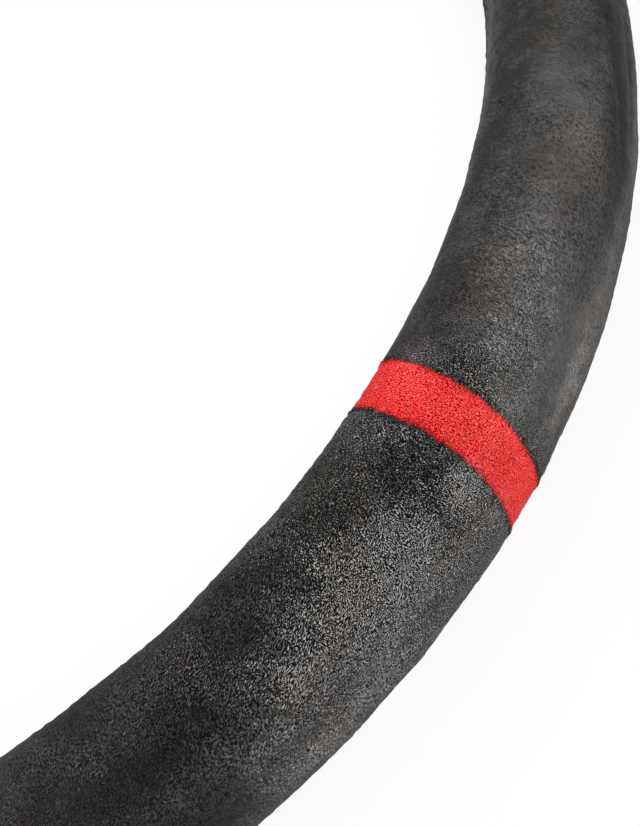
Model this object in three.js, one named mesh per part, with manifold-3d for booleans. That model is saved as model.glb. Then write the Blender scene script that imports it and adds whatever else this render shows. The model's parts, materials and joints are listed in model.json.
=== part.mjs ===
// A stretch-on steering wheel cover for a round rim: a suede skin with one narrow
// red band at its top, wrapped round a moulded rubber ring and sewn to it along both lips.
// Units are millimetres. The cover lies on its back in the plane z = 0, its axis is +Z,
// and the red band is at +Y, the top of the wheel.
import * as THREE from "three";
import { mergeVertices } from "three/addons/utils/BufferGeometryUtils.js";
import Module from "manifold-3d";

// Sizes of the whole ring
const OUTER_DIAMETER = 380;
const SECTION_WIDTH = 28.8; // across the roll, measured from the ring's axis outwards
const SECTION_DEPTH = 42; // through the roll, along the ring's axis
const SECTION_FULLNESS = 2.3; // exponent of the section's curve: 2 is an ellipse
const REST_FLAT = 0.5; // how far the soft back is pressed flat where the cover lies on it
const MOUTH_WIDTH = 10; // between the two lips, where the wheel's rim goes in

// Suede skin, with thin foam bonded to its back
const SKIN_THICKNESS = 2.4;
const HEM_THICKNESS = 1.4; // pared down where it turns round the lip
const HEM_LENGTH = 7;
const BAND_WIDTH = 9.9; // of the red band, from seam to seam
const SEAM_GAP = 0.3;

// Rubber ring
const RUBBER_WALL = 1.9;
const RUBBER_CLEARANCE = 0.3; // between the rubber and the skin round it
const RIB_COUNT = 48;
const RIB_HEIGHT = 0.9;
const RIB_WIDTH = 2.6;
const RIB_LENGTH = 20;
const RIB_ROOT = 0.7; // how far a rib's root reaches into the wall

// Sewing
const THREAD_DIAMETER = 0.6;
const STITCH_INSET = 2.6; // from where the lip starts to turn
const STITCH_GROOVE = 0.9; // depth, and half the width, of the dent that a row of stitches pulls
const SEAM_THREAD_DIAMETER = 0.5;
const SEAM_GROOVE_RADIUS = 0.9; // in the skin's back, where the seam's thread lies
const THREAD_CLEARANCE = 0.25;
const THREAD_SEAT = 0.05; // how far a row of stitches sits below the surface's own line

// Steps that the curves are cut into
const RING_STEPS = 48;
const FACE_STEPS = 12;
const UNDER_STEPS = 2;
const BACK_STEPS = 12;
const HEM_STEPS = 1;
const NOSE_STEPS = 4;
const FOLD_STEPS = 2;
const RIB_STEPS = 6;
const THREAD_SIDES = 5;
const GROOVE_SIDES = 8;
const SEAM_STEPS = 24;
const SOLVER_STEPS = 40;

const halfWidth = SECTION_WIDTH / 2;
const halfDepth = SECTION_DEPTH / 2;
const ringRadius = OUTER_DIAMETER / 2 - halfWidth;
const rollHeight = halfDepth - REST_FLAT;

// Depths below the suede's face, counted inwards through the layers at a lip
const rubberOuter = SKIN_THICKNESS + RUBBER_CLEARANCE;
const rubberInner = rubberOuter + RUBBER_WALL;
const hemOuter = rubberInner + RUBBER_CLEARANCE;
const hemInner = hemOuter + HEM_THICKNESS;

// The section's curve, |u/a|^n + |v/b|^n = 1, with its outward normal. Angle 0 is the outside
// of the ring, a quarter turn is the front face, and the mouth is at half a turn.
function sectionFrame(angle) {
  const c = Math.cos(angle);
  const s = Math.sin(angle);
  const power = 2 / SECTION_FULLNESS;
  const u = halfWidth * Math.sign(c) * Math.abs(c) ** power;
  const v = halfDepth * Math.sign(s) * Math.abs(s) ** power;
  const normal = new THREE.Vector2(
    (Math.sign(c) * Math.abs(c) ** (2 - power)) / halfWidth,
    (Math.sign(s) * Math.abs(s) ** (2 - power)) / halfDepth,
  ).normalize();
  return { point: new THREE.Vector2(u, v), normal };
}

// A point of the section at a depth below the face, as distance from the ring's axis and height.
function sectionPoint(angle, depth) {
  const { point, normal } = sectionFrame(angle);
  const p = point.addScaledVector(normal, -depth);
  return new THREE.Vector2(ringRadius + p.x, Math.max(rollHeight + p.y, 0));
}

// Points along the section at one depth, both ends included.
function sectionRun(from, to, depth, steps) {
  return Array.from({ length: steps + 1 }, (_, i) =>
    sectionPoint(from + ((to - from) * i) / steps, depth),
  );
}

// The value between low and high where a falling function reaches zero.
function solveFalling(low, high, f) {
  for (let i = 0; i < SOLVER_STEPS; i++) {
    const middle = (low + high) / 2;
    if (f(middle) > 0) low = middle;
    else high = middle;
  }
  return (low + high) / 2;
}

// The lip starts to turn where its round nose just leaves half the mouth's width free.
const lipAngle = solveFalling(Math.PI / 2, Math.PI, (angle) => {
  const { point, normal } = sectionFrame(angle);
  return point.y - (normal.y * hemInner) / 2 - hemInner / 2 - MOUTH_WIDTH / 2;
});

// The angle at a distance back from the lip along the middle of the layers.
function angleBackFromLip(distance) {
  const middle = hemInner / 2;
  const start = sectionPoint(lipAngle, middle);
  return solveFalling(Math.PI / 2, lipAngle, (angle) =>
    start.distanceTo(sectionPoint(angle, middle)) - distance,
  );
}
const hemAngle = angleBackFromLip(HEM_LENGTH);
const stitchAngle = angleBackFromLip(STITCH_INSET);
const grooveAngles = [
  angleBackFromLip(STITCH_INSET + STITCH_GROOVE),
  angleBackFromLip(STITCH_INSET - STITCH_GROOVE),
];

// A half turn round the lip's end, from the face's side to the rim's side. side is 1 for the
// front lip and -1 for the rear one.
function turnRoundLip(side, centreDepth, radius, steps) {
  const { normal } = sectionFrame(side * lipAngle);
  const along = new THREE.Vector2(-normal.y * side, normal.x * side);
  const centre = sectionPoint(side * lipAngle, centreDepth);
  return Array.from({ length: steps + 1 }, (_, i) => {
    const turn = (Math.PI * i) / steps;
    return centre
      .clone()
      .addScaledVector(normal, radius * Math.cos(turn))
      .addScaledVector(along, radius * Math.sin(turn));
  });
}

// The V that a row of stitches pulls into a surface, from its back edge to its lip edge.
function stitchGroove(side, surfaceDepth, bottomDepth) {
  return [
    sectionPoint(side * grooveAngles[0], surfaceDepth),
    sectionPoint(side * stitchAngle, bottomDepth),
    sectionPoint(side * grooveAngles[1], surfaceDepth),
  ];
}

// The skin's end at one lip: out over the nose, back along the hem, and round the rubber's edge.
function skinLip(side) {
  const slot = (hemOuter - SKIN_THICKNESS) / 2;
  return [
    ...stitchGroove(side, 0, STITCH_GROOVE),
    ...turnRoundLip(side, hemInner / 2, hemInner / 2, NOSE_STEPS),
    ...stitchGroove(side, hemInner, hemInner - STITCH_GROOVE).reverse(),
    sectionPoint(side * hemAngle, hemInner),
    ...sectionRun(side * hemAngle, side * lipAngle, hemOuter, HEM_STEPS).slice(0, -1),
    ...turnRoundLip(side, SKIN_THICKNESS + slot, slot, FOLD_STEPS).reverse(),
  ];
}

// Half of the angle over which the back is pressed flat, to each side of its lowest line.
const footSpread = solveFalling(0, Math.PI / 4, (spread) =>
  -rollHeight - sectionFrame(-Math.PI / 2 + spread).point.y,
);

function skinProfile() {
  const quarter = Math.PI / 2;
  const under = sectionRun(-grooveAngles[0], -quarter - footSpread, 0, UNDER_STEPS);
  const face = sectionRun(-quarter + footSpread, grooveAngles[0], 0, FACE_STEPS);
  const back = sectionRun(lipAngle, -lipAngle, SKIN_THICKNESS, BACK_STEPS);
  return [
    ...under.slice(1),
    ...face.slice(0, -1),
    ...skinLip(1),
    ...back.slice(1, -1),
    ...skinLip(-1).reverse(),
  ];
}

function rubberProfile() {
  const middle = (rubberOuter + rubberInner) / 2;
  const end = (side) => turnRoundLip(side, middle, RUBBER_WALL / 2, FOLD_STEPS);
  return [
    ...sectionRun(-lipAngle, lipAngle, rubberOuter, BACK_STEPS).slice(1, -1),
    ...end(1),
    ...sectionRun(lipAngle, -lipAngle, rubberInner, BACK_STEPS).slice(1, -1),
    ...end(-1).reverse(),
  ];
}

// A closed outline turned round the ring's axis.
function turned(outline) {
  const ring = new THREE.LatheGeometry([...outline, outline[0].clone()], RING_STEPS);
  return ring.rotateX(Math.PI / 2);
}

const wasm = await Module();
wasm.setup();

function solidOf(geometry) {
  const bare = geometry.clone();
  bare.deleteAttribute("normal");
  bare.deleteAttribute("uv");
  const merged = mergeVertices(bare);
  return new wasm.Manifold(
    new wasm.Mesh({
      numProp: 3,
      vertProperties: new Float32Array(merged.attributes.position.array),
      triVerts: new Uint32Array(merged.index.array),
    }),
  );
}

function geometryOf(solid) {
  const mesh = solid.getMesh();
  const geometry = new THREE.BufferGeometry();
  geometry.setAttribute("position", new THREE.BufferAttribute(mesh.vertProperties, 3));
  geometry.setIndex(new THREE.BufferAttribute(mesh.triVerts, 1));
  geometry.computeVertexNormals();
  return geometry;
}

// A slab across the roll at the top of the wheel, centred on x = 0.
function slabAtTop(width) {
  const slab = new THREE.BoxGeometry(width, 2 * SECTION_WIDTH, 2 * SECTION_DEPTH);
  return solidOf(slab.translate(0, ringRadius, rollHeight));
}

// A round cord along the section at one depth, in the plane x = 0 at the top of the wheel.
function cordAcrossRoll(depth, radius, sides) {
  const path = new THREE.CatmullRomCurve3(
    sectionRun(-lipAngle, lipAngle, depth, SEAM_STEPS).map(
      (p) => new THREE.Vector3(0, p.x, p.y),
    ),
  );
  return new THREE.ExtrudeGeometry(discShape(radius, sides), {
    steps: SEAM_STEPS,
    extrudePath: path,
  });
}

function discShape(radius, sides) {
  return new THREE.Shape(
    Array.from({ length: sides }, (_, i) => {
      const turn = (2 * Math.PI * i) / sides;
      return new THREE.Vector2(radius * Math.cos(turn), radius * Math.sin(turn));
    }),
  );
}

const seamPlaces = { left: -BAND_WIDTH / 2, right: BAND_WIDTH / 2 };

// The skin is one turned section, cut at the two seams. Its back has a groove at each seam.
function skinPanels() {
  const groove = cordAcrossRoll(SKIN_THICKNESS, SEAM_GROOVE_RADIUS, GROOVE_SIDES);
  let skin = solidOf(turned(skinProfile()));
  for (const x of Object.values(seamPlaces)) {
    skin = skin.subtract(solidOf(groove.clone().translate(x, 0, 0)));
  }
  return {
    black: skin.subtract(slabAtTop(BAND_WIDTH + SEAM_GAP)),
    red: skin.intersect(slabAtTop(BAND_WIDTH - SEAM_GAP)),
  };
}

function seamThread(x) {
  const radius = SEAM_THREAD_DIAMETER / 2;
  const depth = SKIN_THICKNESS - SEAM_GROOVE_RADIUS + THREAD_CLEARANCE + radius;
  return cordAcrossRoll(depth, radius, THREAD_SIDES).translate(x, 0, 0);
}

// One rib across the outer wall of the rubber's channel, at angle 0 round the ring.
function gripRib() {
  const end = solveFalling(0, Math.PI / 2, (angle) =>
    RIB_LENGTH / 2 - (sectionPoint(angle, rubberInner).y - rollHeight),
  );
  const root = sectionRun(-end, end, rubberInner - RIB_ROOT, RIB_STEPS);
  const crest = sectionRun(end, -end, rubberInner + RIB_HEIGHT, RIB_STEPS);
  const rib = new THREE.ExtrudeGeometry(new THREE.Shape([...root, ...crest]), {
    depth: RIB_WIDTH,
    bevelEnabled: false,
  });
  return rib.translate(0, 0, -RIB_WIDTH / 2).rotateX(Math.PI / 2);
}

function rubberRing() {
  const rib = solidOf(gripRib());
  const ribs = Array.from({ length: RIB_COUNT }, (_, i) =>
    rib.rotate([0, 0, (360 * (i + 0.5)) / RIB_COUNT]),
  );
  return wasm.Manifold.union([solidOf(turned(rubberProfile())), ...ribs]);
}

// A row of stitches as the ring of thread that it is made of, lying in its dent.
function lipThread(side, surfaceDepth, inward) {
  const centre = sectionPoint(side * stitchAngle, surfaceDepth + inward * THREAD_SEAT);
  const ring = Array.from({ length: THREAD_SIDES }, (_, i) => {
    const turn = (2 * Math.PI * i) / THREAD_SIDES;
    const offset = new THREE.Vector2(Math.cos(turn), Math.sin(turn));
    return centre.clone().addScaledVector(offset, THREAD_DIAMETER / 2);
  });
  return turned(ring);
}

const suedeBlack = new THREE.MeshStandardMaterial({ color: 0x2e2d2c, roughness: 0.95 });
const suedeRed = new THREE.MeshStandardMaterial({ color: 0xe32226, roughness: 0.95 });
const rubber = new THREE.MeshStandardMaterial({ color: 0x1b1b1b, roughness: 0.6 });
const thread = new THREE.MeshStandardMaterial({ color: 0x161616, roughness: 0.7 });

const cover = new THREE.Group();
function addPiece(name, geometry, material) {
  const mesh = new THREE.Mesh(geometry, material);
  mesh.name = name;
  cover.add(mesh);
}

const panels = skinPanels();
addPiece("black_suede", geometryOf(panels.black), suedeBlack);
addPiece("red_band", geometryOf(panels.red), suedeRed);
addPiece("rubber_ring", geometryOf(rubberRing()), rubber);
for (const [lip, side] of Object.entries({ front: 1, rear: -1 })) {
  addPiece(`${lip}_lip_top_thread`, lipThread(side, 0, 1), thread);
  addPiece(`${lip}_lip_bobbin_thread`, lipThread(side, hemInner, -1), thread);
}
for (const [place, x] of Object.entries(seamPlaces)) {
  addPiece(`${place}_seam_thread`, seamThread(x), thread);
}

export default cover;
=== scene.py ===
"""A stretch-on cover for a round steering wheel, lying on its back on a pale floor.

A skin of napped black suede, with one narrow red panel at the top of the wheel, is wrapped round
a ribbed rubber ring, turned in at both lips and sewn there. Lengths are in millimetres until a
mesh is made, and then in metres, as the floor, the lights and the camera are throughout. A place
on the skin is given by s, the distance along the ring from the middle of the red panel, and t,
the distance round the roll from its outermost line towards the front, which is negative towards
the back.
"""
import json
import math

import bpy
import numpy as np
from mathutils import Matrix, Vector

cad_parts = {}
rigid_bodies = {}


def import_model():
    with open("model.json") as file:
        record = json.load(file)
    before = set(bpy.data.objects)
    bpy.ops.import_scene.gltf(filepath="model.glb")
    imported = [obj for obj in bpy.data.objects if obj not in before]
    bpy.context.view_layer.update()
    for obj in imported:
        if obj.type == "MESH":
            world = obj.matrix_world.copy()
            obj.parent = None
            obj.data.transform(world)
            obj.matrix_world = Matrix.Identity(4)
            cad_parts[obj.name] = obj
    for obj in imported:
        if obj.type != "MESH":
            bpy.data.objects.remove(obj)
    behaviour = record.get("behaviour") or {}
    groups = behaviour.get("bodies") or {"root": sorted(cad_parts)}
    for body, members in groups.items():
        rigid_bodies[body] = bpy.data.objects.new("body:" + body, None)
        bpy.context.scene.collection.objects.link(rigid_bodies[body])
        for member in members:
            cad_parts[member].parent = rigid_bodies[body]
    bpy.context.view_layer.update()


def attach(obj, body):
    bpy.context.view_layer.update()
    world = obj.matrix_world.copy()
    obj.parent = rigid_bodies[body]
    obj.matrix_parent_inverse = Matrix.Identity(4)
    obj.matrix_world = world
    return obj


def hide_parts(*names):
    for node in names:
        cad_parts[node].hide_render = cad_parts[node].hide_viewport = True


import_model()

MM = 0.001

# The ring and the section of the roll, as in the solids
OUTER_DIAMETER = 380.0
SECTION_WIDTH = 28.8
SECTION_DEPTH = 42.0
SECTION_FULLNESS = 2.3
REST_FLAT = 0.5
MOUTH_WIDTH = 10.0
SKIN_THICKNESS = 2.4
HEM_THICKNESS = 1.4
HEM_LENGTH = 7.0
RUBBER_WALL = 1.9
CLEARANCE = 0.3
RIB_COUNT = 48
RIB_HEIGHT = 0.9
RIB_WIDTH = 2.6
RIB_LENGTH = 20.0
STITCH_INSET = 2.6

HALF_WIDTH = SECTION_WIDTH / 2
HALF_DEPTH = SECTION_DEPTH / 2
RING_RADIUS = OUTER_DIAMETER / 2 - HALF_WIDTH
ROLL_HEIGHT = HALF_DEPTH - REST_FLAT
RING_LENGTH = 2 * math.pi * RING_RADIUS
RUBBER_OUTER = SKIN_THICKNESS + CLEARANCE  # depths below the suede's face, from here down
RUBBER_INNER = RUBBER_OUTER + RUBBER_WALL
HEM_OUTER = RUBBER_INNER + CLEARANCE
HEM_INNER = HEM_OUTER + HEM_THICKNESS

# The red panel's seams and the skin's soft shape
SEAM_AT = 4.95  # from the middle of the red panel
SEAM_SPACE = 0.03
SEAM_ROLL = 0.8  # radius that the suede turns down with into a seam
ROLL_SHARE = 0.6  # of that turn, which the nap doesn't fill up again
SEAM_WANDER = 0.1  # root mean square
WANDER_REACH = 1.5  # from a seam, over which its wander dies out
WANDER_APART = 50  # along the waves, between the wander at s below 0 and at s above it
PUFF_HEIGHT = 0.10  # of the black suede beside a seam
PUFF_AT = 3.2
PUFF_WIDTH = 2.4
SWELL = 0.09  # root mean square of the skin's slow waves
TUFT = 0.05  # and of its tufts
SWELL_FADE = 2  # from a seam, over which both die out

# Sewing
STITCH_LENGTH = 3.6
STITCH_RADIUS = 0.3
STITCH_DIVE = 1.0
STITCH_LEAN = 0.12
STITCH_DENT = 0.6
STITCH_DENT_WIDTH = 1.0
STITCH_SINK = 0.1  # of the thread's underside into the dent
STITCH_PLACES = [0, 0.04, 0.09, 0.16, 0.28, 0.5, 0.72, 0.84, 0.91, 0.96]  # along one stitch
THREAD_SIDES = 6
THINNEST = 0.5  # of the skin, under any dent or roll

# Loose fibres of the nap that stand along the seams and lean over them
FRINGE_COUNT = 900  # at each end of a panel
FRINGE_REACH = 0.9  # from the panel's end
FIBRE_LENGTHS = {"black": (0.5, 1.1), "red": (0.35, 0.8)}
FIBRE_RADIUS = 0.06
FIBRE_TAPER = 0.8  # of that radius is left at the bend
FIBRE_FAN = 40  # degrees, to either side of straight across the seam
FIBRE_RISE = (4, 22)  # degrees above the skin
FIBRE_BEND = 12  # degrees, each way from the middle
FIBRE_TONE = 0.1  # how much lighter or darker than the nap a fibre may be
FIBRE_MAP = 0.3  # along the map from a fibre's root to its bend, and on to its tip
FIBRES_FROM = 1.0  # above the floor, where the lowest ones are rooted

# Soft creases that the stretched skin has pressed in along the outer side, as two ends (s, t)
CREASES = [((-100, 19.5), (-52, 3.0)), ((-95, 7.0), (-62, 1.5))]
CREASE_DEPTH = 0.3
CREASE_WIDTH = 1.5

# The skin's mesh
STITCH_ZONE = 3  # ahead of the stitches, where the mesh's steps round the roll are already short
ZONE_FADE = 2  # over which they grow to their full length
NOSE_ROWS = 12
HEM_ROWS = 12
TUCK_ROWS = 4
FOLD_ROWS = 6
BACK_ROWS = 20
HIDDEN_STEP = 2  # in t, from the hem's end to the first hidden face and from each to the next
BLACK_STEP = 1.0  # round the roll
RED_STEP = 0.4

# The rubber ring's mesh
RUBBER_OUTER_ROWS = 34
RUBBER_INNER_ROWS = 60
RUBBER_LIP_ROWS = 7
RIB_FADE = 1.0  # length over which a rib falls away at each end
RIB_PROFILE = [(-1, 0), (-0.9, 0.55), (-0.7, 1), (0, 1), (0.7, 1), (0.9, 0.55), (1, 0)]
RIB_GAP_STEPS = 7
RUBBER_MAP_CLOSE = 0.5  # on the map, over the loop's last face

# Samples that curves are worked out with
OUTLINE_SAMPLES = 20001
LIP_SAMPLES = 8001
SPREAD_SAMPLES = 4001
LAST_LIP_ANGLE = 0.95 * math.pi


def section(angle):
    """The roll's outline, |u/a|^n + |v/b|^n = 1, and its outward normal, at angles from the
    outermost point towards the front. u is measured from the roll's middle outwards, v upwards."""
    c, s, power = np.cos(angle), np.sin(angle), 2 / SECTION_FULLNESS
    half = np.array([HALF_WIDTH, HALF_DEPTH])
    both = np.stack([c, s], -1)
    point = half * np.sign(both) * np.abs(both) ** power
    normal = np.sign(both) * np.abs(both) ** (2 - power) / half
    return point, normal / np.linalg.norm(normal, axis=-1, keepdims=True)


ANGLES = np.linspace(-math.pi, math.pi, OUTLINE_SAMPLES)
STEPS = np.linalg.norm(np.diff(section(ANGLES)[0], axis=0), axis=1)
ROUND = np.concatenate([[0], np.cumsum(STEPS)])  # t at each of the angles, once 0 is outermost
ROUND -= np.interp(0, ANGLES, ROUND)


def t_where(falling):
    """The first t past the front's crest at which a falling function of the angle is zero."""
    angle = np.linspace(math.pi / 2, LAST_LIP_ANGLE, LIP_SAMPLES)
    below = np.argmax(falling(angle) < 0)
    return float(np.interp(angle[below], ANGLES, ROUND))


def at_depth(t, depth):
    """Points and outward normals of the section at places t, a depth below the suede's face."""
    point, normal = section(np.interp(t, ROUND, ANGLES))
    return point - depth * normal, normal


def lip_rule(angle):
    """How far the round nose of a lip at an angle stays above the mouth's edge."""
    point, normal = section(angle)
    return point[:, 1] - (normal[:, 1] + 1) * HEM_INNER / 2 - MOUTH_WIDTH / 2


T_LIP = t_where(lip_rule)


def t_back_from_lip(distance):
    """The t at a distance back from the lip, measured along the middle of its layers."""
    start = at_depth(np.array([T_LIP]), HEM_INNER / 2)[0]

    def short_of(angle):
        point, normal = section(angle)
        gap = np.linalg.norm(point - normal * HEM_INNER / 2 - start, axis=1) - distance
        return np.where(angle < np.interp(T_LIP, ROUND, ANGLES), gap, -1)

    return t_where(short_of)


T_HEM = t_back_from_lip(HEM_LENGTH)
T_STITCH = t_back_from_lip(STITCH_INSET)


def spread(stops, steps):
    """Places from the first of stops to the last, with a local step given at each of them. The
    count between two places is the sum of 1 / step, and the places divide it evenly."""
    fine = np.linspace(stops[0], stops[-1], SPREAD_SAMPLES)
    step = np.interp(fine, stops, steps)
    count = np.concatenate([[0], np.cumsum(np.diff(fine) / step[1:])])
    return np.interp(np.linspace(0, count[-1], int(round(count[-1])) + 1), count, fine)


def waves(s, t, count, shortest, longest, seed):
    """A sum of plane waves over (s, t) with random directions, phases and lengths between two
    limits, scaled to a root mean square of 1."""
    rng = np.random.default_rng(seed)
    total = np.zeros(np.broadcast(s, t).shape)
    for _ in range(count):
        length = np.exp(rng.uniform(math.log(shortest), math.log(longest)))
        turn, phase = rng.uniform(0, 2 * math.pi, 2)
        total += np.sin(2 * math.pi * (s * math.cos(turn) + t * math.sin(turn)) / length + phase)
    return total / math.sqrt(count / 2)


def bell(x):
    """exp(-x^2)."""
    return np.exp(-(x**2))


def lip_turn(centre_depth, radius, count):
    """A half turn round the front lip's end, from the face's side to the rim's side."""
    start, normal = at_depth(np.array([T_LIP]), centre_depth)
    along = np.stack([-normal[:, 1], normal[:, 0]], -1)
    turn = np.linspace(0, math.pi, count)[:, None]
    out = np.cos(turn) * normal + np.sin(turn) * along
    return start + radius * out, out, radius * turn[:, 0]


def skin_loop(step):
    """The skin's closed section as columns u, v, normal u, normal v, t and nap. It runs along the
    face from the rear lip to the front one, round that lip's nose, back along its hem, round the
    rubber's edge, along the hidden back and round the rear lip. nap is 1 where the suede's face
    shows, fades out at the hem's end, and is 0 on what is hidden."""
    near, short = T_STITCH - STITCH_ZONE, step / 2
    face_t = spread([-T_LIP, -near, -near + ZONE_FADE, near - ZONE_FADE, near, T_LIP],
                    [short, short, step, step, short, short])
    face, face_n = at_depth(face_t, 0)
    nose, nose_n, nose_t = lip_turn(HEM_INNER / 2, HEM_INNER / 2, NOSE_ROWS)
    hem_t = np.linspace(T_LIP, T_HEM, HEM_ROWS)
    hem, hem_n = at_depth(hem_t, HEM_INNER)
    tuck, tuck_n = at_depth(np.linspace(T_HEM, T_LIP, TUCK_ROWS), HEM_OUTER)
    slot = (HEM_OUTER - SKIN_THICKNESS) / 2
    fold, fold_n, _ = lip_turn(SKIN_THICKNESS + slot, slot, FOLD_ROWS)

    def rows(point, normal, t, nap):
        return np.column_stack([point, normal, np.broadcast_to(t, len(point)),
                                np.broadcast_to(nap, len(point))])

    end_t = T_LIP + nose_t[-1]
    hem_out = end_t + (T_LIP - hem_t)
    hidden = hem_out[-1] + HIDDEN_STEP * np.arange(1, 4)
    fade = np.concatenate([np.ones(len(hem_t) - 2), [0.5, 0]])
    front = np.vstack([
        rows(nose, nose_n, T_LIP + nose_t, 1)[1:-1],
        rows(hem, -hem_n, hem_out, fade),
        rows(tuck, tuck_n, hidden[0], 0)[:-1],
        rows(fold[::-1], -fold_n[::-1], hidden[1], 0)[:-1],
    ])
    rear = front[::-1] * np.array([1, -1, 1, -1, -1, 1])
    back, back_n = at_depth(np.linspace(T_LIP, -T_LIP, BACK_ROWS), SKIN_THICKNESS)
    return np.vstack([rows(face, face_n, face_t, 1), front,
                      rows(back, -back_n, hidden[2], 0), rear])


def place(theta, u, v):
    """Points of the ring in metres: theta is the angle clockwise from the top of the wheel."""
    radius = RING_RADIUS + u
    height = np.maximum(ROLL_HEIGHT + v, 0)
    return MM * np.stack([radius * np.sin(theta), radius * np.cos(theta), height], -1)


def grid_mesh(name, points, uv, closed_ring, attributes=()):
    """A mesh from a grid of points, (along the ring, round the section). The section closes on
    itself. The ring closes too, or ends in a flat face at each end. uv has one more row and
    column than the faces need at a closure, so that the map doesn't run back there."""
    rows, columns = points.shape[:2]
    across = rows if closed_ring else rows - 1
    i, j = np.meshgrid(np.arange(across), np.arange(columns), indexing="ij")
    corner_i = np.stack([i, i, i + 1, i + 1], -1).reshape(-1, 4)
    corner_j = np.stack([j, j + 1, j + 1, j], -1).reshape(-1, 4)
    quads = (corner_i % rows) * columns + corner_j % columns
    mesh = bpy.data.meshes.new(name)
    faces = quads.tolist()
    uvs = uv[corner_i, corner_j].reshape(-1, 2)
    if not closed_ring:
        first, last = np.arange(columns)[::-1], (rows - 1) * columns + np.arange(columns)
        faces += [first.tolist(), last.tolist()]
        uvs = np.vstack([uvs, uv[0, :columns][::-1], uv[rows - 1, :columns]])
    mesh.from_pydata(points.reshape(-1, 3).tolist(), [], faces)
    layer = mesh.uv_layers.new(name="along_and_round")
    layer.data.foreach_set("uv", uvs.astype(np.float32).ravel())
    for title, values in attributes:
        own = mesh.attributes.new(title, "FLOAT", "POINT")
        own.data.foreach_set("value", values.astype(np.float32).ravel())
    mesh.shade_smooth()
    mesh.validate()
    return mesh


def add_piece(mesh, material, slot, *nodes):
    """Puts a mesh into the scene on the one body, in place of the CAD nodes that are named."""
    piece = bpy.data.objects.new(mesh.name, mesh)
    bpy.context.scene.collection.objects.link(piece)
    mesh.materials.append(material)
    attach(piece, "root")
    if nodes:
        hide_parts(*nodes)
    return piece


# Brush marks in the black nap, partly painted light: some stand for highlights, rim light and shade
# rather than for the nap. Columns: s, t, half length, half width, change of tone, change of
# coarseness
BRUSH_MARKS_AND_PAINTED_LIGHT = [
    (32, 13, 38, 24, -0.02, 0.72),
    (80, 16, 34, 60, -0.15, 0.00),
    (-80, 20, 40, 60, 0.02, -0.20),
    # painted shade along the outer side at the top
    (-93, 10, 31, 8, -0.22, 0.00),
    (-54, 6, 14, 5, -0.04, 0.00),
    (-70, 35, 44, 5, -0.06, 0.00),
    (-36, 8, 24, 34, 0.04, 0.00),
    (-76, 24, 16, 12, 0.04, 0.00),
    # painted sheen, a pale rim along the inner edge at the top
    (-94, 43, 34, 5, 0.24, 0.00),
    (-72, 16, 7, 4, 0.06, 0.00),
    (-42, 18, 12, 18, 0.03, 0.00),
    (-25, 16, 8, 10, 0.05, 0.00),
    (-7, 23, 3.5, 4.5, -0.24, 0.60),
    (-22, 19, 18, 9, 0.00, 0.12),
    (-18, 8, 14, 9, 0.08, -0.26),
    (-14, 18, 7, 6, 0.10, 0.10),
    (-5, 30, 3, 5, 0.14, 0.00),
    (-6, 12, 3, 4, 0.12, 0.00),
    (-6, -1, 4, 4, -0.12, 0.00),
    (11, 21, 5.5, 5.5, -0.36, 0.20),
    (12.5, 18, 3, 4, -0.22, 0.00),
    (17, 8, 4, 3, -0.08, 0.00),
    (23, 11, 4, 3, -0.05, 0.00),
    (6.5, 17, 2, 3, -0.10, 0.00),
    (8, 12, 3, 3.5, 0.20, 0.00),
    (13, 12, 2.5, 4, -0.08, 0.00),
    (15.5, 8, 3, 3, -0.10, 0.00),
    (20, 16, 5, 5, 0.08, 0.00),
    (20, 28, 5, 3, 0.05, 0.00),
    (0, 31, 4, 9, 0.08, 0.00),
    (0, 3, 4, 8, -0.16, 0.00),
    (12, 32, 6, 5, 0.04, 0.00),
    (42, 22, 8, 5, -0.06, 0.00),
    (30, 7, 24, 6, -0.05, 0.00),
    (24, 14, 9, 6, 0.02, 0.10),
    (36, 14, 9, 6, 0.08, 0.00),
    (49, 16, 5, 5, -0.04, 0.00),
    (59, 13, 9, 8, -0.05, 0.00),
    (63, 11, 3.5, 5, -0.12, 0.10),
    (66.5, 2, 4, 5, -0.12, 0.00),
    (76, 12, 12, 6, -0.05, -0.06),
    (34, 29, 26, 8, -0.24, -0.06),
    (44, 25, 12, 6, 0.00, -0.24),
    (20, -1, 12, 5, -0.10, 0.00),
    (25, -2, 6, 4, -0.10, 0.00),
    (47, 29, 8, 6, 0.06, 0.00),
    (38, 23, 6, 3, -0.05, 0.00),
    (68, 14, 8, 3, 0.07, 0.00),
    (60, 0, 5, 3, -0.08, 0.00),
    (59, 20, 9, 4, -0.18, -0.12),
    (64, 9, 7, 4, -0.06, 0.00),
    (73, 1, 9, 5, -0.60, -0.10),
    (78, 21, 9, 4, -0.10, -0.10),
    (50, -3, 24, 5, 0.06, 0.26),
    (62, 33, 28, 8, 0.00, 0.04),
    (74, 20, 16, 9, 0.00, -0.12),
    (56, 10, 10, 8, -0.02, -0.10),
    (34, 6, 8, 6, -0.03, 0.00),
    (-40, 19, 20, 6, 0.03, 0.00),
    (-62, 17, 14, 7, 0.05, 0.00),
    (-30, 29, 14, 3, -0.03, 0.00),
    # painted rim highlight along the outer edge
    (-20, -2, 26, 5, 0.18, 0.00),
]
EDGE_WANDER = 0.9  # root mean square of how far a mark's edge wanders
MARKED_REACH = 110  # from the red panel, where the marks and the locks die out

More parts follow.
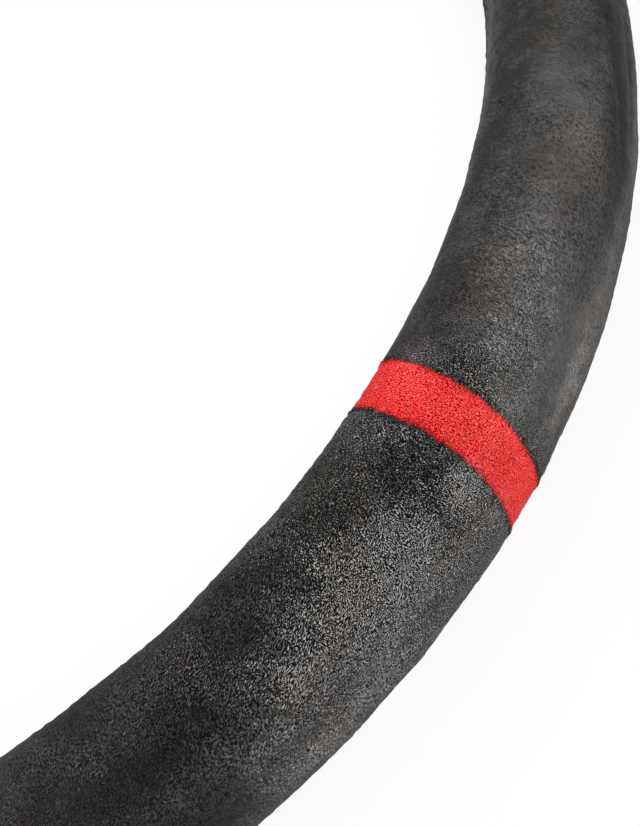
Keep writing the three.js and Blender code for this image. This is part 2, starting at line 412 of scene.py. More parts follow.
# How the black nap lies apart from the marks. Left is where s is below 0.
TONE = 0.49
TONE_SWELL = 0.025  # root mean square of the slow waves
TONE_RIPPLE = 0.015  # and of the quick ones
COARSENESS = 0.24
COARSE_SWELL = 0.06  # root mean square
MOST_COARSE = 1.1
COARSE_DARKER = 0.11
FRONT_EDGE = 30  # the t from which the nap is smoother and the tone is painted a little darker, as shade on the inner side of the roll
FRONT_SOFTNESS = 2.5
# painted shade: how much lighter the face and darker the inner side of the roll are painted
INNER_SIDE_PAINTED_SHADE = 0.03
FRONT_COARSER = 0.08
# painted shade in the creases, taken off the tone
CREASE_PAINTED_SHADE = 0.08
LEFT_EDGE = -4
LEFT_SOFTNESS = 3
LEFT_SMOOTHER = 0.46
ROUND_SHARE = 0.5  # of the nap that lies round the roll
ROUND_MORE = (0.4, 20)  # beside the red panel, and within how far
ROUND_LESS = (0.3, 70, 30)  # how much, at which s, and its half length
LOCKS_LEFT = (5, 40)  # where they begin on the left, and how far on they are full
LOCKS_PATCH = (60, 14, 12, 8, 0.7)  # s, t, half length, half width and strength


def crease_depth(s, t):
    """How deep the creases are at places on the skin, as shares of CREASE_DEPTH: a bell across
    each line, which fades over the quarter of its length at either end."""
    total = np.zeros(np.broadcast(s, t).shape)
    for (s0, t0), (s1, t1) in CREASES:
        length = math.hypot(s1 - s0, t1 - t0)
        ahead = ((s - s0) * (s1 - s0) + (t - t0) * (t1 - t0)) / length
        aside = ((t - t0) * (s1 - s0) - (s - s0) * (t1 - t0)) / length
        fade = np.clip(4 * np.minimum(ahead, length - ahead) / length, 0, 1)
        total += bell(aside / CREASE_WIDTH) * fade
    return total


def nap_and_painted_light(s, t):
    """How the nap lies at places on the skin, each from 0 to about 1: how light it is, how coarse
    it stands, how much of it lies round the roll, and how much of it lies in broad soft locks. How
    light it is holds painted light too: painted shade in the creases and on the inner side of the
    roll, and the painted highlights and shade of some of the marks. The first two are random waves
    plus the marks, which are partly brush marks and partly painted light, each a bell of (s, t)
    round its own middle, 1 / (1 + exp(x)) steps down past an edge, and the last two are bells and a
    ramp along s."""
    near = bell((s / MARKED_REACH) ** 2)
    front_side = 1 / (1 + np.exp((t - FRONT_EDGE) / FRONT_SOFTNESS))
    swell = waves(s / 2, t, count=30, shortest=9, longest=40, seed=11)
    ripple = waves(s, t, count=30, shortest=3, longest=8, seed=12)
    tone = TONE + TONE_SWELL * swell + TONE_RIPPLE * ripple
    # Painted shade: the tone is made darker on the inner side of the roll and in the creases
    tone += INNER_SIDE_PAINTED_SHADE * (front_side - 0.5) - CREASE_PAINTED_SHADE * crease_depth(s, t)
    swell = waves(s, t, count=30, shortest=10, longest=40, seed=13)
    coarse = COARSENESS + COARSE_SWELL * swell + FRONT_COARSER * (front_side - 0.5)
    ragged_s = s + EDGE_WANDER * waves(s, t, count=40, shortest=3, longest=12, seed=14)
    ragged_t = t + EDGE_WANDER * waves(s, t, count=40, shortest=3, longest=12, seed=15)
    # Marks that are partly brush marks and partly painted highlights and shade
    for at_s, at_t, half_s, half_t, lighter, coarser in BRUSH_MARKS_AND_PAINTED_LIGHT:
        mark = bell((ragged_s - at_s) / half_s) * bell((ragged_t - at_t) / half_t) * near
        tone += lighter * mark
        coarse += coarser * mark
    smoother = LEFT_SMOOTHER / (1 + np.exp((s - LEFT_EDGE) / LEFT_SOFTNESS))
    coarse = np.clip(coarse, 0, MOST_COARSE) * (1 - smoother)
    more, reach = ROUND_MORE
    less, at_s, half_s = ROUND_LESS
    round_it = ROUND_SHARE + more * bell(s / reach) * np.ones_like(t)
    round_it = round_it - less * bell((s - at_s) / half_s)
    begin, over = LOCKS_LEFT
    at_s, at_t, half_s, half_t, strength = LOCKS_PATCH
    patch = bell((s - at_s) / half_s) * bell((t - at_t) / half_t) * strength
    locks = np.clip((-s - begin) / over, 0, 1) + patch
    # lie holds painted highlights and shade from the marks, the creases and the inner side, as well
    # as the nap's own tone
    return {"lie": np.clip(tone - COARSE_DARKER * coarse, 0, 1), "stand": coarse,
            "round_it": round_it, "locks": np.clip(locks, 0, 1) * near}


def around_ring(s):
    """The same place on the ring, measured the short way from the red panel."""
    return np.where(s > RING_LENGTH / 2, s - RING_LENGTH, s)


def seam_fringe(name, points, theta, face_t, ring_s, lengths, seed):
    """Loose fibres along a panel's two ends. Each is a thin bent spike with three sides, rooted at
    a random place of the panel's face near the end, and it leans out over the seam. Its seven
    points are three at the root, three at the bend and the tip."""
    rng = np.random.default_rng(seed)
    count = 2 * FRINGE_COUNT
    last = np.arange(count) % 2
    inwards = rng.uniform(0, FRINGE_REACH, count)
    s = np.where(last, ring_s[-1] - inwards, ring_s[0] + inwards)
    t = rng.uniform(-T_LIP, T_LIP, count)
    i = np.clip(np.searchsorted(ring_s, s) - 1, 0, len(ring_s) - 2)
    j = np.clip(np.searchsorted(face_t, t) - 1, 0, len(face_t) - 2)
    share_i = (s - ring_s[i]) / (ring_s[i + 1] - ring_s[i])
    share_j = (t - face_t[j]) / (face_t[j + 1] - face_t[j])

    def sampled(grid):
        a, b = (x.reshape(-1, *[1] * (grid.ndim - 2)) for x in (share_i, share_j))
        return ((1 - a) * ((1 - b) * grid[i, j] + b * grid[i, j + 1])
                + a * ((1 - b) * grid[i + 1, j] + b * grid[i + 1, j + 1]))

    root, angle = sampled(points), sampled(theta)
    nu, nv = section(np.interp(t, ROUND, ANGLES))[1].T[..., None]
    outwards = np.stack([np.sin(angle), np.cos(angle), 0 * angle], -1)
    ahead = np.where(last, 1, -1)[:, None]
    along = np.stack([np.cos(angle), -np.sin(angle), 0 * angle], -1) * ahead
    upwards = np.array([0, 0, 1])
    normal = nu * outwards + nv * upwards
    across = nu * upwards - nv * outwards
    fan = np.radians(rng.uniform(-FIBRE_FAN, FIBRE_FAN, count))[:, None]
    rise = np.radians(rng.uniform(*FIBRE_RISE, count))[:, None]
    half = MM * rng.uniform(*lengths, count)[:, None] / 2
    lean = np.cos(fan) * along + np.sin(fan) * across
    bend = math.radians(FIBRE_BEND)
    low = np.cos(rise + bend) * lean + np.sin(rise + bend) * normal
    high = np.cos(rise - bend) * lean + np.sin(rise - bend) * normal
    sideways = np.cross(normal, low)
    sideways /= np.linalg.norm(sideways, axis=1, keepdims=True)
    over = np.cross(low, sideways)
    turn = np.linspace(0, 2 * math.pi, 3, endpoint=False)[:, None, None]
    ring = MM * FIBRE_RADIUS * (np.cos(turn) * sideways + np.sin(turn) * over)
    middle = root + half * low
    fibre = np.concatenate([root + ring, middle + FIBRE_TAPER * ring,
                            (middle + half * high)[None]])
    keep = root[:, 2] > MM * FIBRES_FROM
    fibre, s, t = fibre[:, keep].transpose(1, 0, 2), around_ring(s[keep]), t[keep]
    faces = np.array([[2, 1, 0], [0, 1, 4], [0, 4, 3], [1, 2, 5], [1, 5, 4], [2, 0, 3], [2, 3, 5],
                      [3, 4, 6], [4, 5, 6], [5, 3, 6]])
    faces = (faces + 7 * np.arange(len(fibre))[:, None, None]).reshape(-1, 3)
    mesh = bpy.data.meshes.new(name)
    mesh.from_pydata(fibre.reshape(-1, 3).tolist(), [], faces.tolist())
    reach = FIBRE_MAP * np.array([0, 0, 0, 1, 1, 1, 2])
    place_s = (s[:, None] + reach).ravel()
    place_t = np.repeat(t, 7)
    uv = MM * np.stack([place_s, place_t], -1)[faces.ravel()]
    mesh.uv_layers.new(name="along_and_round").data.foreach_set("uv", uv.astype(np.float32).ravel())
    lie = nap_and_painted_light(s, t)
    lie["lie"] += rng.uniform(-FIBRE_TONE, FIBRE_TONE, len(s))
    for title, values in lie.items():
        own = mesh.attributes.new(title, "FLOAT", "POINT")
        own.data.foreach_set("value", np.repeat(values, 7).astype(np.float32))
    return mesh


def suede_panel(name, first, last, ring_s, step, red):
    """A panel of the skin between two seams, as a closed solid, and its fringe. Each place of the
    section's loop is carried round the ring, and pushed along its normal by the slow waves and
    tufts, the puff beside a seam, the roll down into it, and the dent of the stitches. Its two
    ends lie in the planes x = first and x = last, which the angle at every radius is fitted to,
    apart from the little that a seam wanders on the face."""
    u, v, nu, nv, t, nap = skin_loop(step).T
    s = ring_s[:, None]
    radius = RING_RADIUS + u
    start, end = np.arcsin(first / radius), np.arcsin(last / radius)
    if not red:
        end = end + 2 * math.pi
    share = (s - ring_s[0]) / (ring_s[-1] - ring_s[0])
    theta = start + share * (end - start)
    to_seam = np.minimum(s - ring_s[0], ring_s[-1] - s)
    around = around_ring(s)
    side = 0 * t + (s > 0) * WANDER_APART
    wander = SEAM_WANDER * waves(side, t, count=20, shortest=1.2, longest=5, seed=21) * nap
    theta = theta + wander * bell(to_seam / WANDER_REACH) / radius
    swell = waves(around, t, count=30, shortest=12, longest=40, seed=1)
    lift = SWELL * swell + TUFT * waves(around, t, count=60, shortest=1.8, longest=4, seed=2)
    lift *= np.clip(to_seam / SWELL_FADE, 0, 1)
    inside = np.clip(SEAM_ROLL - to_seam, 0, SEAM_ROLL)
    roll = SEAM_ROLL - np.sqrt(SEAM_ROLL**2 - inside**2)
    lift -= roll * ROLL_SHARE + CREASE_DEPTH * crease_depth(around, t)
    if not red:
        lift += PUFF_HEIGHT * bell((to_seam - PUFF_AT) / PUFF_WIDTH)
    for row in (T_STITCH, 2 * T_LIP + math.pi * HEM_INNER / 2 - T_STITCH):
        lift -= STITCH_DENT * bell((np.abs(t) - row) / STITCH_DENT_WIDTH)
    deepest = np.where(np.abs(t) > T_LIP, HEM_THICKNESS, SKIN_THICKNESS) - THINNEST
    lift = np.maximum(lift, -deepest) * nap
    points = place(theta, u + lift * nu, v + lift * nv)
    down_wall = SEAM_ROLL * np.arcsin(inside / SEAM_ROLL) - inside
    map_s = around + np.sign(around) * (down_wall if red else -down_wall)
    uv = MM * np.stack(np.broadcast_arrays(map_s, np.append(t, t[0])), -1)
    panel = grid_mesh(name, points, uv, False, nap_and_painted_light(around, t).items())
    face_t = t[:np.argmax(t >= T_LIP) + 1]
    lengths, seed = (FIBRE_LENGTHS["red"], 32) if red else (FIBRE_LENGTHS["black"], 31)
    return panel, seam_fringe(f"{name}_fringe", points, theta, face_t, ring_s, lengths, seed)


def rubber_mesh(name):
    """The rubber ring as a closed loop carried right round. Ribs stand across the channel's outer
    wall: each is a flat-topped ridge in s, with soft sides, that fades out at its two ends."""
    outer, outer_n = at_depth(np.linspace(-T_LIP, T_LIP, RUBBER_OUTER_ROWS), RUBBER_OUTER)
    inner, inner_n = at_depth(np.linspace(T_LIP, -T_LIP, RUBBER_INNER_ROWS), RUBBER_INNER)
    middle = (RUBBER_OUTER + RUBBER_INNER) / 2
    end, end_n, _ = lip_turn(middle, RUBBER_WALL / 2, RUBBER_LIP_ROWS)
    flip = np.array([1, -1])
    loop = np.vstack([outer, end[1:-1], inner, end[1:-1][::-1] * flip])
    normal = np.vstack([outer_n, end_n[1:-1], -inner_n, end_n[1:-1][::-1] * flip])
    ribbed = np.zeros(len(loop))
    start = len(outer) + len(end) - 2
    short_of_end = RIB_LENGTH / 2 + RIB_FADE / 2 - np.abs(inner[:, 1])
    ribbed[start:start + len(inner)] = np.clip(short_of_end / RIB_FADE, 0, 1)
    pitch = 2 * math.pi / RIB_COUNT
    half = RIB_WIDTH / 2 / (RING_RADIUS + HALF_WIDTH - RUBBER_INNER)
    local, height = np.array(RIB_PROFILE).T
    gaps = np.linspace(half, pitch - half, RIB_GAP_STEPS + 1)[1:-1]
    steps = np.append(local * half, gaps)
    theta = (np.arange(RIB_COUNT)[:, None] * pitch + pitch / 2 + steps).ravel()
    rise = np.tile(np.append(height, 0 * gaps), RIB_COUNT)
    lift = RIB_HEIGHT * rise[:, None] * ribbed
    u, v = loop.T
    points = place(theta[:, None], u + lift * normal[:, 0], v + lift * normal[:, 1])
    walk = np.concatenate([[0], np.cumsum(np.linalg.norm(np.diff(loop, axis=0), axis=1))])
    walk = np.append(walk, walk[-1] + RUBBER_MAP_CLOSE)
    along = np.append(theta, theta[0] + 2 * math.pi) * RING_RADIUS
    uv = MM * np.stack(np.broadcast_arrays(along[:, None], walk), -1)
    return grid_mesh(name, points, uv, True)


def stitch_row(name, side, surface_depth, outward):
    """A row of stitches as one closed thread. Its middle follows the dent round the ring; in each
    stitch it arches up out of one needle hole and dives into the next, as 1 - |2x - 1|^6 of the
    way x along the stitch, and it leans a little across the row."""
    base, normal = at_depth(np.array([T_STITCH]), surface_depth)
    base, normal = base[0] * [1, side], normal[0] * [1, side] * outward
    across = np.array([-normal[1], normal[0]])
    count = int(round(2 * math.pi * (RING_RADIUS + base[0]) / STITCH_LENGTH))
    theta = ((np.arange(count)[:, None] + STITCH_PLACES) * 2 * math.pi / count).ravel()
    x = np.tile(STITCH_PLACES, count)
    crest = STITCH_RADIUS - STITCH_DENT - STITCH_SINK
    height = crest - STITCH_DIVE * np.abs(2 * x - 1) ** 6
    lean = STITCH_LEAN * np.sin(2 * math.pi * x)
    turn = np.linspace(0, 2 * math.pi, THREAD_SIDES, endpoint=False)
    up = height[:, None] + STITCH_RADIUS * np.cos(turn)
    aside = lean[:, None] + STITCH_RADIUS * np.sin(turn)
    u = base[0] + up * normal[0] + aside * across[0]
    v = base[1] + up * normal[1] + aside * across[1]
    points = place(theta[:, None], u, v)
    along = np.append(theta, 2 * math.pi) * (RING_RADIUS + base[0])
    uv = MM * np.stack(np.broadcast_arrays(along[:, None], np.append(turn, 2 * math.pi)), -1)
    return grid_mesh(name, points, uv, True)


class Value:
    """A number in a material. An expression on Values adds the Math nodes that work it out."""

    def __init__(self, finish, socket):
        self.finish = finish
        self.socket = socket

    def math(self, operation, *others):
        return self.finish.math(operation, self, *others)

    def __add__(self, other):
        return self.math("ADD", other)

    def __radd__(self, other):
        return self.math("ADD", other)

    def __sub__(self, other):
        return self.math("SUBTRACT", other)

    def __rsub__(self, other):
        return self.finish.math("SUBTRACT", other, self)

    def __mul__(self, other):
        return self.math("MULTIPLY", other)


class Finish:
    """The nodes of one material, or of the world."""

    def __init__(self, name, owner=None):
        self.owner = owner or bpy.data.materials.new(name)
        self.owner.use_nodes = True
        self.tree = self.owner.node_tree
        self.tree.nodes.clear()

    def node(self, kind, settings=(), **inputs):
        """A node of a type, with its settings made first and then its sockets, by name or, as
        _3, by number."""
        made = self.tree.nodes.new(kind)
        for key, value in dict(settings).items():
            setattr(made, key, value)
        for key, value in inputs.items():
            socket = made.inputs[int(key[1:]) if key[0] == "_" else key.replace("_", " ")]
            if isinstance(value, Value):
                value = value.socket
            if isinstance(value, bpy.types.NodeSocket):
                self.tree.links.new(value, socket)
            else:
                socket.default_value = value
        return made

    def math(self, operation, *values):
        inputs = {f"_{i}": value for i, value in enumerate(values)}
        made = self.node("ShaderNodeMath", {"operation": operation}, **inputs)
        return Value(self, made.outputs[0])

    def place(self):
        """The piece's own map, in millimetres: x is s and y is t."""
        uv = self.node("ShaderNodeUVMap", {"uv_map": "along_and_round"})
        return self.vector("SCALE", uv.outputs[0], Scale=1 / MM)

    def own_place(self):
        """The object's own coordinates, in millimetres."""
        own = self.node("ShaderNodeTexCoord").outputs["Object"]
        return self.vector("SCALE", own, Scale=1 / MM)

    def vector(self, operation, *vectors, **inputs):
        inputs.update({f"_{i}": value for i, value in enumerate(vectors)})
        return self.node("ShaderNodeVectorMath", {"operation": operation}, **inputs).outputs[0]

    def turned(self, vector, angle, size):
        """A vector turned by an angle and then divided by a size in x and y."""
        turn = self.node("ShaderNodeMapping", {"vector_type": "POINT"}, Vector=vector,
                         Rotation=(0, 0, math.radians(angle)))
        return self.vector("MULTIPLY", turn.outputs[0], (1 / size[0], 1 / size[1], 1))

    def noise(self, vector, scale, detail, roughness=0.5, colour=False):
        made = self.node("ShaderNodeTexNoise", {"noise_dimensions": "3D"}, Vector=vector,
                         Scale=scale, Detail=detail, Roughness=roughness)
        return made.outputs["Color"] if colour else Value(self, made.outputs[0])

    def strokes(self, vector, angle, size, detail=0, roughness=0.5):
        """Noise drawn out at an angle, in strokes of about a size, as length and width."""
        return self.noise(self.turned(vector, angle, size), 1.0, detail, roughness)

    def tufts(self, vector):
        """A random number, from 0 to 1, for each of the cells that a vector is parted into."""
        cells = self.node("ShaderNodeTexVoronoi", {"feature": "F1"}, Vector=vector, Scale=1.0)
        parts = self.node("ShaderNodeSeparateColor", (), Color=cells.outputs["Color"])
        return Value(self, parts.outputs[0])

    def attribute(self, name):
        made = self.node("ShaderNodeAttribute", {"attribute_name": name})
        return Value(self, made.outputs["Fac"])

    def ease(self, value, low, high, to_low=0.0, to_high=1.0):
        """The value carried from low..high to to_low..to_high, clamped, with soft ends."""
        made = self.node("ShaderNodeMapRange", {"interpolation_type": "SMOOTHSTEP"}, Value=value,
                         From_Min=low, From_Max=high, To_Min=to_low, To_Max=to_high)
        return Value(self, made.outputs[0])

    def ramp(self, value, *stops):
        """The colour at a value along a ramp of (place, colour)."""
        made = self.node("ShaderNodeValToRGB", (), Fac=value)
        band = made.color_ramp
        while len(band.elements) < len(stops):
            band.elements.new(1.0)
        for element, (at, colour) in zip(band.elements, stops):
            element.position = at
            element.color = (*colour, 1)
        return made.outputs[0]

    def mixed(self, share, first, second, blend="MIX"):
        settings = {"data_type": "RGBA", "blend_type": blend}
        made = self.node("ShaderNodeMix", settings, _0=share, _6=first, _7=second)
        return made.outputs[2]

    def bump(self, height, distance, strength):
        made = self.node("ShaderNodeBump", (), Height=height, Distance=distance,
                         Strength=strength)
        return made.outputs[0]

    def seen_directly(self):
        """1 for rays of the camera and rays that gloss and glass send on, and 0 for all others."""
        path = self.node("ShaderNodeLightPath").outputs
        camera, gloss, glass = (Value(self, path[f"Is {kind} Ray"])
                                for kind in ("Camera", "Glossy", "Transmission"))
        return camera.math("MAXIMUM", gloss).math("MAXIMUM", glass)

    def surface(self, **inputs):
        """Ends the material, with every socket by name."""
        shader = self.node("ShaderNodeBsdfPrincipled", (), **inputs)
        self.node("ShaderNodeOutputMaterial", (), Surface=shader.outputs[0])
        return self.owner


# The suede's nap, with lengths in millimetres
ROUND_LIE = 84  # degrees from along the ring
SLANT_LIE = 22
BROAD_LIE = 80
ROUND_STROKE = (0.34, 0.145)  # length and width
SLANT_STROKE = (0.44, 0.14)
BROAD_STROKE = (0.75, 0.38)
TUFT_CELL = (0.46, 0.28)
ROUND_LOCK = (1.5, 0.8)
SLANT_LOCK = (1.4, 0.4)
WANDER_SCALE = 0.35  # per mm, as the next three are
PATCH_SCALE = 0.3
SPECK_SCALE = 6.5
TINT_SCALE = 0.05
NAP_WANDER = 1.6
GAPS_CLOSE = (0.39, 0.67)  # from where to where in the grain the fibres close the gaps
FIBRE_LEVEL = 0.38  # of the grain, once closed, at which a fibre is neither light nor dark
FILL_LEVEL = 4.6  # how much that rises with the fill
TUFT_PLAIN = 0.72  # strength of the fibres in the weakest tuft
TUFT_VARIES = 0.55  # and what the strongest tuft adds
LOCKS_CLOSER = 0.09  # what locks add to the grain, to the level and to the strength
LOCKS_LEVEL = 0.27
LOCKS_STRONGER = 0.5
MOTTLE = 0.22  # its share in the tone, and what coarse nap adds to it
MOTTLE_COARSE = 0.05


def napped_suede(name, stops, tints, contrast, fill, sheen):
    """Brushed suede. Short strokes of fibre lie in two directions, each direction in its own
    patches, and wander a little. Strokes and specks together close the gaps between the fibres, and
    where the nap lies in locks they are broader and softer. Tufts make some fibres stronger, and a
    mottle of larger locks lies under all. The colour runs along the stops from the dark between the
    fibres to their light tips, shifted by how the nap lies and by the painted highlights and shade
    that the lie attribute carries, and is tinted in slow patches. contrast is the fibres' share on
    smooth nap and what coarse nap adds to it, and fill is how far the fibres close the gaps."""
    f = Finish(name)
    p = f.place()
    wander = f.noise(p, WANDER_SCALE, 1, colour=True)
    wander = f.vector("SUBTRACT", wander, (0.5, 0.5, 0.5))
    q = f.vector("ADD", p, f.vector("SCALE", wander, Scale=NAP_WANDER))
    lie, stand, round_it, locks = (f.attribute(title)
                                   for title in ("lie", "stand", "round_it", "locks"))
    patches = f.noise(p, PATCH_SCALE, 1) * 0.6 + round_it * 0.4
    which = f.ease(patches, low=0.45, high=0.55)
    other = 1 - which
    slant = f.strokes(q, SLANT_LIE, SLANT_STROKE)
    strokes = f.strokes(q, ROUND_LIE, ROUND_STROKE) * which + slant * other
    specks = f.noise(p, SPECK_SCALE, 0)
    broad = f.strokes(q, BROAD_LIE, BROAD_STROKE, detail=1)
    soft = broad * 0.6 + slant * 0.25 + specks * 0.15
    grain = (strokes * 0.7 + specks * 0.3) * (1 - locks) + soft * locks
    low, high = GAPS_CLOSE
    filled = f.ease(grain + locks * LOCKS_CLOSER, low - fill, high - fill)
    level = FIBRE_LEVEL + FILL_LEVEL * fill
    tufts = f.tufts(f.turned(q, ROUND_LIE, TUFT_CELL)) * TUFT_VARIES + TUFT_PLAIN
    fibre = (filled - locks * LOCKS_LEVEL - level) * (tufts + locks * LOCKS_STRONGER)
    round_locks = f.strokes(q, ROUND_LIE, ROUND_LOCK, detail=1, roughness=0.6)
    slant_locks = f.strokes(q, SLANT_LIE, SLANT_LOCK, detail=1, roughness=0.6)
    mottle = round_locks * which + slant_locks * other - 0.5
    smooth_nap, coarse_nap = contrast
    # lie brings in the painted highlights and shade along with the nap's own tone
    tone = lie + fibre * (stand * coarse_nap + smooth_nap)
    tone = tone + mottle * (MOTTLE + stand * MOTTLE_COARSE)
    colour = f.ramp(tone, *stops)
    first, second = (f.mixed(1.0, colour, tint, "MULTIPLY") for tint in tints)
    share = f.ease(f.noise(p, TINT_SCALE, 2), low=0.35, high=0.65)
    colour = f.mixed(share, first, second)
    normal = f.bump(fibre * (stand * 0.9 + 0.1) + mottle, distance=0.2 * MM, strength=0.8)
    return f.surface(Base_Color=colour, Roughness=0.92, Normal=normal, Sheen_Weight=sheen,
                     Sheen_Roughness=0.2, Sheen_Tint=(1, 1, 1, 1), Specular_IOR_Level=0.06)


RUBBER_STOPS = [(0.3, (0.008, 0.008, 0.008)), (0.7, (0.028, 0.027, 0.026))]
THREAD_STOPS = [(0.15, (0.004, 0.004, 0.004)), (0.85, (0.035, 0.034, 0.033))]
PLY_TURN = 5.2  # radians per mm along the thread
PLY_WIND = 3.0  # radians per radian round it, on its map
CORD_WIND = 8.0  # radians per mm across a cord that has no map


def moulded_rubber(name):
    """Dull black rubber: a fine mould grain, faint streaks along the ring and paler dust."""
    f = Finish(name)
    p = f.place()
    grain = f.noise(p, 1.6, detail=3, roughness=0.6)
    streaks = f.strokes(p, angle=0, size=(9.0, 0.8), detail=2)
    dust = f.ease(f.noise(p, 0.12, detail=4, roughness=0.6), low=0.5, high=0.75)
    colour = f.ramp(grain * 0.5 + streaks * 0.3 + dust * 0.2, *RUBBER_STOPS)
    dull = f.ease(grain, low=0.3, high=0.7, to_low=0.5, to_high=0.72)
    normal = f.bump(grain * 0.7 + streaks * 0.3, distance=0.08 * MM, strength=0.6)
    return f.surface(Base_Color=colour, Roughness=dull, Normal=normal, Specular_IOR_Level=0.4)


def sewing_thread(name, on_map):
    """Twisted thread: its plies wind round it, lighter on their backs than between them. Without
    a map the plies follow the object's own y and z, which a cord round the roll runs along."""
    f = Finish(name)
    p = f.place() if on_map else f.own_place()
    where = f.node("ShaderNodeSeparateXYZ", (), Vector=p)
    x, y, z = (Value(f, where.outputs[i]) for i in range(3))
    turns = x * PLY_TURN + y * PLY_WIND if on_map else (y + z) * PLY_TURN + x * CORD_WIND
    plies = (turns.math("SINE") + 1) * 0.5
    fuzz = f.noise(p, 6.0, detail=2)
    colour = f.ramp(plies * 0.7 + fuzz * 0.3, *THREAD_STOPS)
    normal = f.bump(plies, distance=0.05 * MM, strength=0.7)
    return f.surface(Base_Color=colour, Roughness=0.7, Normal=normal, Sheen_Weight=0.15)


BLACK_STOPS = [(0.0, (0.003, 0.003, 0.003)), (0.25, (0.0105, 0.0105, 0.0105)),
               (0.5, (0.035, 0.034, 0.033)), (0.75, (0.125, 0.121, 0.117)),
               (1.0, (0.42, 0.41, 0.40))]
RED_STOPS = [(0.0, (0.28, 0.002, 0.004)), (0.25, (0.60, 0.008, 0.010)),
             (0.45, (0.86, 0.032, 0.031)), (0.7, (0.95, 0.074, 0.069)), (1.0, (1.0, 0.17, 0.16))]
BLACK_TINTS = ((1.0, 0.96, 0.93, 1), (0.95, 0.97, 1.0, 1))
RED_TINTS = ((1.0, 1.0, 1.0, 1), (1.0, 0.96, 0.96, 1))

black_suede = napped_suede("black_suede", BLACK_STOPS, BLACK_TINTS, contrast=(0.04, 1.5),
                           fill=0.02, sheen=0.10)
red_suede = napped_suede("red_suede", RED_STOPS, RED_TINTS, contrast=(0.68, 1.25), fill=0.08,
                         sheen=0.03)
rubber = moulded_rubber("moulded_rubber")
thread = sewing_thread("sewing_thread", on_map=True)
hidden_thread = sewing_thread("hidden_sewing_thread", on_map=False)

# Steps along the ring: short beside a seam, longer on the arc in view, longest on the far half
SHORT_TO, LONGER_FROM = 1.5, 3  # from a seam
ARC_END, FAR_FROM = 110, 220  # from the middle of the red panel
SHORT_STEP, ARC_STEP, FAR_STEP = 0.25, 0.95, 4.2

black_s = spread([SEAM_AT + SEAM_SPACE, SEAM_AT + SHORT_TO, SEAM_AT + LONGER_FROM, ARC_END,
                  FAR_FROM, RING_LENGTH - FAR_FROM, RING_LENGTH - ARC_END,
                  RING_LENGTH - SEAM_AT - LONGER_FROM, RING_LENGTH - SEAM_AT - SHORT_TO,
                  RING_LENGTH - SEAM_AT - SEAM_SPACE],
                 [SHORT_STEP, SHORT_STEP, ARC_STEP, ARC_STEP, FAR_STEP, FAR_STEP, ARC_STEP,
                  ARC_STEP, SHORT_STEP, SHORT_STEP])
black_mesh, black_fibres = suede_panel("black_suede_skin", SEAM_AT + SEAM_SPACE,
                                       -SEAM_AT - SEAM_SPACE, black_s, BLACK_STEP, red=False)
black_skin = add_piece(black_mesh, black_suede, "black_suede", "black_suede")
black_fringe = add_piece(black_fibres, black_suede, "black_suede")

red_s = spread([-SEAM_AT + SEAM_SPACE, -SEAM_AT + SHORT_TO, 0, SEAM_AT - SHORT_TO,
                SEAM_AT - SEAM_SPACE],
               [0.2, 0.3, 0.35, 0.3, 0.2])
red_mesh, red_fibres = suede_panel("red_suede_panel", -SEAM_AT + SEAM_SPACE,
                                   SEAM_AT - SEAM_SPACE, red_s, RED_STEP, red=True)
red_panel = add_piece(red_mesh, red_suede, "red_suede", "red_band")
red_fringe = add_piece(red_fibres, red_suede, "red_suede")

add_piece(rubber_mesh("ribbed_rubber_ring"), rubber, "rubber", "rubber_ring")
for lip, side in (("front", 1), ("rear", -1)):
    top = stitch_row(f"{lip}_lip_top_stitches", side, 0, 1)
    add_piece(top, thread, "thread", f"{lip}_lip_top_thread")
    under = stitch_row(f"{lip}_lip_bobbin_stitches", side, HEM_INNER, -1)
    add_piece(under, thread, "thread", f"{lip}_lip_bobbin_thread")
for side in ("left", "right"):
    for material_slot in bpy.data.objects[f"{side}_seam_thread"].material_slots:
        material_slot.material = hidden_thread

# Floor, light and camera
FLOOR_REACH = 30.0
FLOOR_DROP = 0.2 * MM  # under the cover's flat back
FLOOR_GLOW = 0.9  # share of the floor that the camera sees as plain white
SOFT_LIGHT = 0.65
WHITE = (1, 1, 1, 1)
FLOOR_PAINT = (0.95, 0.95, 0.95, 1)


def pale_floor():
    """A pale floor that the camera sees nearly white, with the cover's soft shadow on it."""
    mesh = bpy.data.meshes.new("floor")
    corners = [(x * FLOOR_REACH, y * FLOOR_REACH, -FLOOR_DROP)
               for x, y in ((-1, -1), (1, -1), (1, 1), (-1, 1))]
    mesh.from_pydata(corners, [], [(0, 1, 2, 3)])
    floor = bpy.data.objects.new("floor", mesh)
    bpy.context.scene.collection.objects.link(floor)
    f = Finish("pale_floor")
    seen = f.seen_directly()
    paint = f.node("ShaderNodeBsdfDiffuse", (), Color=FLOOR_PAINT)
    glow = f.node("ShaderNodeEmission", (), Color=WHITE, Strength=1.0)
    both = f.node("ShaderNodeMixShader", (), Fac=seen * FLOOR_GLOW, _1=paint.outputs[0],
                  _2=glow.outputs[0])
    f.node("ShaderNodeOutputMaterial", (), Surface=both.outputs[0])
    mesh.materials.append(f.owner)


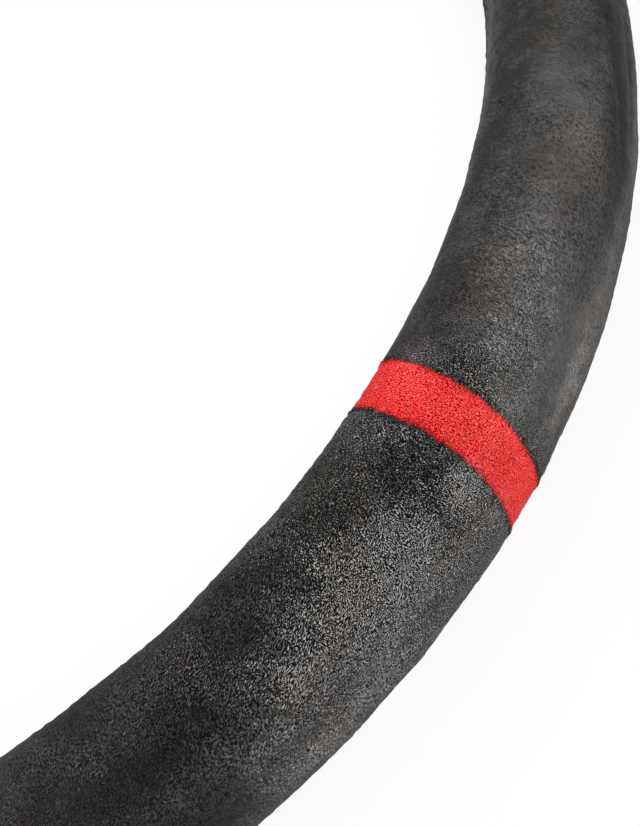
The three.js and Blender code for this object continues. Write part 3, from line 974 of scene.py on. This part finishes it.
def studio_world():
    """An even, soft light from all round, which the camera sees as white."""
    world = bpy.data.worlds.new("studio")
    bpy.context.scene.world = world
    f = Finish("studio", world)
    soft = f.node("ShaderNodeBackground", (), Color=WHITE, Strength=SOFT_LIGHT)
    white = f.node("ShaderNodeBackground", (), Color=WHITE, Strength=1.0)
    both = f.node("ShaderNodeMixShader", (), Fac=f.seen_directly(), _1=soft.outputs[0],
                  _2=white.outputs[0])
    f.node("ShaderNodeOutputWorld", (), Surface=both.outputs[0])


def softbox(name, place_at, aim, size, power):
    """A square lamp at a place, turned to face a point."""
    lamp = bpy.data.lights.new(name, "AREA")
    lamp.size = size
    lamp.energy = power
    box = bpy.data.objects.new(name, lamp)
    box.location = place_at
    box.rotation_mode = "QUATERNION"
    box.rotation_quaternion = (Vector(aim) - Vector(place_at)).to_track_quat("-Z", "Y")
    bpy.context.scene.collection.objects.link(box)


def photo_camera(target, azimuth, elevation, roll, distance):
    """A 50 mm lens at a distance from a target, above the horizon by elevation and turned about
    its own line of sight by roll."""
    a, e, r = (math.radians(x) for x in (azimuth, elevation, roll))
    back = Vector((math.cos(e) * math.sin(a), -math.cos(e) * math.cos(a), math.sin(e)))
    level = Vector((0, 0, 1)).cross(back).normalized()
    rise = back.cross(level)
    right = math.cos(r) * level + math.sin(r) * rise
    up = -math.sin(r) * level + math.cos(r) * rise
    lens = bpy.data.cameras.new("camera")
    lens.lens = 50
    lens.sensor_width = 36
    lens.clip_start = 0.01
    camera = bpy.data.objects.new("camera", lens)
    turn = Matrix((right, up, back)).transposed().to_4x4()
    camera.matrix_world = Matrix.Translation(Vector(target) + back * distance) @ turn
    bpy.context.scene.collection.objects.link(camera)
    bpy.context.scene.camera = camera


pale_floor()
studio_world()
softbox("key", (0.30, 0.75, 0.95), aim=(0, 0.16, 0.02), size=0.5, power=7.0)
softbox("fill", (-0.6, -0.7, 1.1), aim=(0, 0, 0.02), size=1.0, power=9.0)
photo_camera(target=(0.00198, 0.1485, 0.0205), azimuth=154.869, elevation=51.603, roll=-36.986,
             distance=0.2143)

scene = bpy.context.scene
scene.view_settings.view_transform = "Standard"
